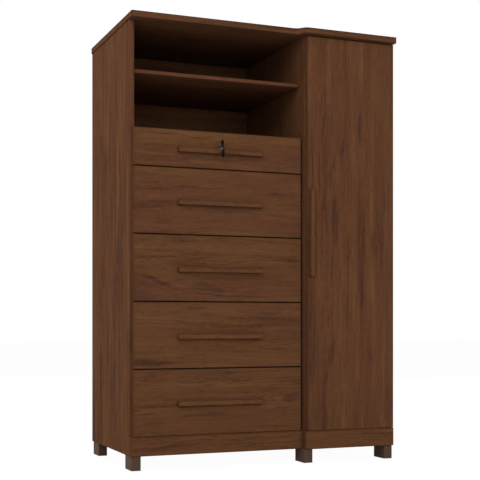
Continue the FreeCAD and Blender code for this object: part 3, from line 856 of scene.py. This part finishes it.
def door_stops(plastic):
    """Two soft stops on the back of the door, where it meets the divider."""
    low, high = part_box("door_panel")
    x = (low[0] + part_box("divider_panel")[1][0]) / 2
    model = turned("door_stops", STOP_PROFILE, STOP_SIDES)
    smooth(model, 40)
    heights = (low[2] + STOP_INSET, high[2] - STOP_INSET)
    stops = [copy_to(model, "door_stop", (x, high[1], z), (0, -1, 0)) for z in heights]
    bpy.data.objects.remove(model)
    finished(joined_as("door_stops", stops), "door", plastic, "dark_plastic")


# --- Lock and keys -------------------------------------------------------------------------------
BOW_SIZE, BOW_THICKNESS, BOW_ROUNDING = 22 * MM, 2.2 * MM, 5 * MM
RIM_WIDTH, RIM_SLOPE, WEB_DEPTH = 1.6 * MM, 0.4 * MM, 0.45 * MM
BOW_HOLE_RADIUS = 1.7 * MM
BLADE_THICKNESS, BLADE_HEIGHT = 1.9 * MM, 6.8 * MM
BLADE_IN_BOW, BLADE_FROM_END = 1 * MM, 0.3 * MM
GROOVE_LOW, GROOVE_HIGH = 0.42, 0.22                # shares of the blade, from its uncut edge
GROOVE_DEPTH = 0.5 * MM
# Cuts of a blade: how far along it from bow to tip, and how deep, both as shares of its size
CUTS = [(0.12, 0.05), (0.24, 0.42), (0.36, 0.12), (0.48, 0.55), (0.60, 0.22), (0.72, 0.48)]
CUTS += [(0.86, 0.10)]
UNCUT_IN_LOCK = 0.4                                 # share of the blade in the lock, by its bow
RING_TURNS, RING_STEPS, RING_OVERLAP = 2, 64, math.radians(15)      # steps of each turn


def runs_along_x(piece, edge):
    start, end = [piece.data.vertices[index].co for index in edge.vertices]
    return abs(start.x - end.x) > 1 * MM


def key_bow(name, low, high, hole):
    """The moulded head of a key: a thin web inside a raised rim, with the hole for the ring."""
    made = block(name, low, high)
    pick(made, "EDGE", lambda edge: runs_along_x(made, edge))
    bpy.ops.mesh.bevel(offset=BOW_ROUNDING, segments=8, affect="EDGES")
    object_mode()
    for side in (-1, 1):
        pick(made, "FACE", lambda face: face.normal.x * side > 0.9)
        for width in (RIM_SLOPE, RIM_WIDTH, RIM_SLOPE):
            bpy.ops.mesh.inset(thickness=width)
        bpy.ops.transform.translate(value=(-side * WEB_DEPTH, 0, 0))
        object_mode()
    select_none()
    bpy.ops.mesh.primitive_cylinder_add(
        vertices=24, radius=BOW_HOLE_RADIUS, depth=20 * MM, location=hole
    )
    drill = bpy.context.object
    drill.rotation_euler = (0, math.radians(90), 0)
    settle(drill)
    cut_away(made, drill)
    apply_modifier(made, "BEVEL", width=0.25 * MM, segments=2, limit_method="ANGLE")
    smooth(made)
    return made


def key_blade(name, low, high, along, cuts):
    """The steel blade of a key, with cuts along one edge and a groove on both sides."""
    made = block(name, low, high)
    across = 3 - along
    length, height = high[along] - low[along], high[across] - low[across]
    normal = [0, 0, 0]
    normal[along] = 1
    for share, _ in cuts:
        place = Vector(low)
        place[along] += length * share
        edit_all(made)
        bpy.ops.mesh.bisect(plane_co=place, plane_no=normal)
        object_mode()
    for share, depth in cuts:
        at, quarter = low[along] + length * share, low[across] + height / 4

        def on_cut(vertex):
            return abs(vertex.co[along] - at) < 0.05 * MM and vertex.co[across] < quarter

        pick(made, "VERT", on_cut)
        move = [0, 0, 0]
        move[across] = height * depth
        bpy.ops.transform.translate(value=move)
        object_mode()
    groove_low, groove_high = Vector(low), Vector(high)
    groove_low[across] = high[across] - height * GROOVE_LOW
    groove_high[across] = high[across] - height * GROOVE_HIGH
    for face_x in (low[0], high[0]):
        groove_low.x, groove_high.x = face_x - GROOVE_DEPTH, face_x + GROOVE_DEPTH
        cut_away(made, block("groove", groove_low, groove_high))
    apply_modifier(made, "BEVEL", width=0.12 * MM, segments=1, limit_method="ANGLE")
    smooth(made)
    return made


def split_ring(name, node):
    """A key ring of two turns of wire, side by side."""
    low, high = corners(node)
    centre = (low + high) / 2
    wire = (high.y - low.y) / 4
    radius = (high.z - low.z) / 2 - wire * 2
    curve = bpy.data.curves.new(name, "CURVE")
    curve.dimensions = "3D"
    curve.bevel_depth = wire
    curve.bevel_resolution = 3
    curve.use_fill_caps = True
    count = RING_STEPS * RING_TURNS
    spline = curve.splines.new("POLY")
    spline.points.add(count)
    for step in range(count + 1):
        angle = -RING_OVERLAP + step / count * (math.tau * RING_TURNS - RING_OVERLAP)
        aside = (step / count * 2 - 1) * wire
        x, z = math.sin(angle) * radius, -math.cos(angle) * radius
        spline.points[step].co = (centre.x + x, centre.y + aside, centre.z + z, 1)
    made = bpy.data.objects.new(name, curve)
    bpy.context.scene.collection.objects.link(made)
    select_only(made)
    bpy.ops.object.convert(target="MESH")
    made = bpy.context.object
    edit_all(made)
    bpy.ops.mesh.remove_doubles(threshold=0.001 * MM)
    bpy.ops.mesh.normals_make_consistent(inside=False)
    smooth(made, 60)
    return made


def key_in_lock(plastic, nickel):
    """The key that stands in the lock, its blade along Y."""
    low, high = corners("key")
    x, lock_z = middle("key", 0), middle("lock_plug", 2)
    ring_low, ring_high = corners("key_ring")
    hole = Vector((x, middle("key_ring", 1), ring_high.z - (ring_high.y - ring_low.y) / 2))
    left, right = x - BOW_THICKNESS / 2, x + BOW_THICKNESS / 2
    bow_end = low.y + BOW_SIZE
    bow = key_bow("key_bow", (left, low.y, high.z - BOW_SIZE), (right, bow_end, high.z), hole)
    finished(bow, "key_in_lock", plastic, "black_plastic", "key")
    half_thick, half_high = BLADE_THICKNESS / 2, BLADE_HEIGHT / 2
    blade_low = (x - half_thick, bow_end - BLADE_IN_BOW, lock_z - half_high)
    blade_high = (x + half_thick, high.y - BLADE_FROM_END, lock_z + half_high)
    cuts = [(UNCUT_IN_LOCK + share * (1 - UNCUT_IN_LOCK), depth) for share, depth in CUTS]
    blade = key_blade("key_blade", blade_low, blade_high, 1, cuts)
    finished(blade, "key_in_lock", nickel, "chrome", "key")


def spare_key(plastic, nickel):
    """The key that hangs from the ring, its blade along Z."""
    low, high = corners("spare_key")
    x, y = middle("key", 0), middle("spare_key", 1)
    ring_low, ring_high = corners("key_ring")
    hole = Vector((x, y, ring_low.z + (ring_high.y - ring_low.y) / 2))
    left, right = x - BOW_THICKNESS / 2, x + BOW_THICKNESS / 2
    bow_end = high.z - BOW_SIZE
    bow = key_bow("spare_key_bow", (left, low.y, bow_end), (right, high.y, high.z), hole)
    finished(bow, "spare_key", plastic, "black_plastic", "spare_key")
    half_thick, half_high = BLADE_THICKNESS / 2, BLADE_HEIGHT / 2
    blade_low = (x - half_thick, y - half_high, low.z)
    blade_high = (x + half_thick, y + half_high, bow_end + BLADE_IN_BOW)
    cuts = [(1 - share, depth) for share, depth in CUTS]
    blade = key_blade("spare_key_blade", blade_low, blade_high, 2, cuts)
    finished(blade, "spare_key", nickel, "chrome", "spare_key")


# --- Studio --------------------------------------------------------------------------------------
CAMERA_PLACE = (-1.3547, -3.332, 0.4573)
CAMERA_TURN = -22.08                                # degrees about Z, from looking along +Y
LENS, SENSOR_WIDTH, LENS_RISE = 79.48, 36, 0.1695
AMBIENT_LIGHT = 0.42
FLOOR_GREY = (0.62, 0.62, 0.62, 1)
FLOOR_GLOW, FLOOR_GLOW_SHARE = 1.03, 0.94           # to what sees the floor directly

# Softboxes: place, point that they face, width and height in metres, watts
SOFTBOXES = {
    "key_light": ((-2.4, -3.0, 3.2), (0, 0, 0.8), (2.4, 2.4), 62),
    "left_fill": ((-3.6, 0.2, 1.6), (-0.45, 0, 0.7), (2.4, 2.4), 55),
    "front_fill": ((0.8, -4.2, 1.8), (0.0, -0.2, 0.7), (3.0, 2.4), 66),
    "low_fill": ((-2.6, -3.6, 1.25), (0, 0, 1.15), (1.2, 1.2), 16),
    "right_fill": ((3.8, 0.3, 1.5), (0.45, 0, 0.7), (2.4, 2.4), 45),
    "back_fill": ((2.2, 3.8, 1.6), (0.1, 0.26, 0.7), (1.8, 1.8), 55),
    "top_fill": ((0, 0.6, 4.4), (0, 0.1, 1.4), (2.4, 2.4), 40),
}


def camera():
    data = bpy.data.cameras.new("camera")
    data.lens = LENS
    data.sensor_width = SENSOR_WIDTH
    data.shift_y = LENS_RISE
    made = bpy.data.objects.new("camera", data)
    made.location = CAMERA_PLACE
    made.rotation_euler = (math.radians(90), 0, math.radians(CAMERA_TURN))
    bpy.context.scene.collection.objects.link(made)
    bpy.context.scene.camera = made


def softbox(name, place, target, size, watts):
    data = bpy.data.lights.new(name, "AREA")
    data.shape = "RECTANGLE"
    data.size, data.size_y = size
    data.energy = watts
    made = bpy.data.objects.new(name, data)
    made.location = place
    aim = Vector(target) - Vector(place)
    made.rotation_euler = aim.to_track_quat("-Z", "Y").to_euler()
    bpy.context.scene.collection.objects.link(made)


def seen_directly(nodes):
    """1 for what the camera sees itself, in a mirror or through glass."""
    rays = ("Is Camera Ray", "Is Glossy Ray", "Is Transmission Ray")
    seen, mirrored, through = [nodes.node("ShaderNodeLightPath", output=ray) for ray in rays]
    return seen.larger(mirrored).larger(through)


def world():
    """Even light from all round, in front of a white backdrop."""
    made = bpy.data.worlds.new("studio")
    bpy.context.scene.world = made
    made.use_nodes = True
    made.node_tree.nodes.clear()
    nodes = Nodes(made.node_tree)
    light = {"Color": WHITE, "Strength": AMBIENT_LIGHT}
    ambient = nodes.node("ShaderNodeBackground", {}, light)
    backdrop = nodes.node("ShaderNodeBackground", {}, {"Color": WHITE})
    inputs = {0: seen_directly(nodes), 1: ambient, 2: backdrop}
    output = made.node_tree.nodes.new("ShaderNodeOutputWorld")
    nodes.feed(output.inputs["Surface"], nodes.node("ShaderNodeMixShader", {}, inputs))


def floor():
    """A pale floor that keeps the piece's shadow and is white to the eye."""
    bpy.ops.mesh.primitive_plane_add(size=40)
    made = bpy.context.object
    made.name = "floor"
    finish = Finish("floor_white", Roughness=0.9, Specular_IOR_Level=0.0)
    finish.set("Base Color", FLOOR_GREY)
    lit = Value(finish, finish.shader.outputs[0])
    glow = finish.node("ShaderNodeEmission", {}, {"Strength": FLOOR_GLOW})
    inputs = {0: seen_directly(finish) * FLOOR_GLOW_SHARE, 1: lit, 2: glow}
    output = finish.tree.nodes["Material Output"]
    finish.feed(output.inputs["Surface"], finish.node("ShaderNodeMixShader", {}, inputs))
    made.data.materials.append(finish.material)


def studio():
    camera()
    world()
    floor()
    for name, settings in SOFTBOXES.items():
        softbox(name, *settings)
    bpy.context.scene.view_settings.view_transform = "Standard"


select_none()
dress_boards()
dress_the_rest()
screws(ZINC)
back(ZINC)
plinth_bands()
hinge_adjusters(ZINC)
door_stops(FOOT_PLASTIC)
key_in_lock(KEY_PLASTIC, NICKEL)
spare_key(KEY_PLASTIC, NICKEL)
finished(split_ring("split_ring", "key_ring"), "key_ring", NICKEL, "chrome", "key_ring")
studio()
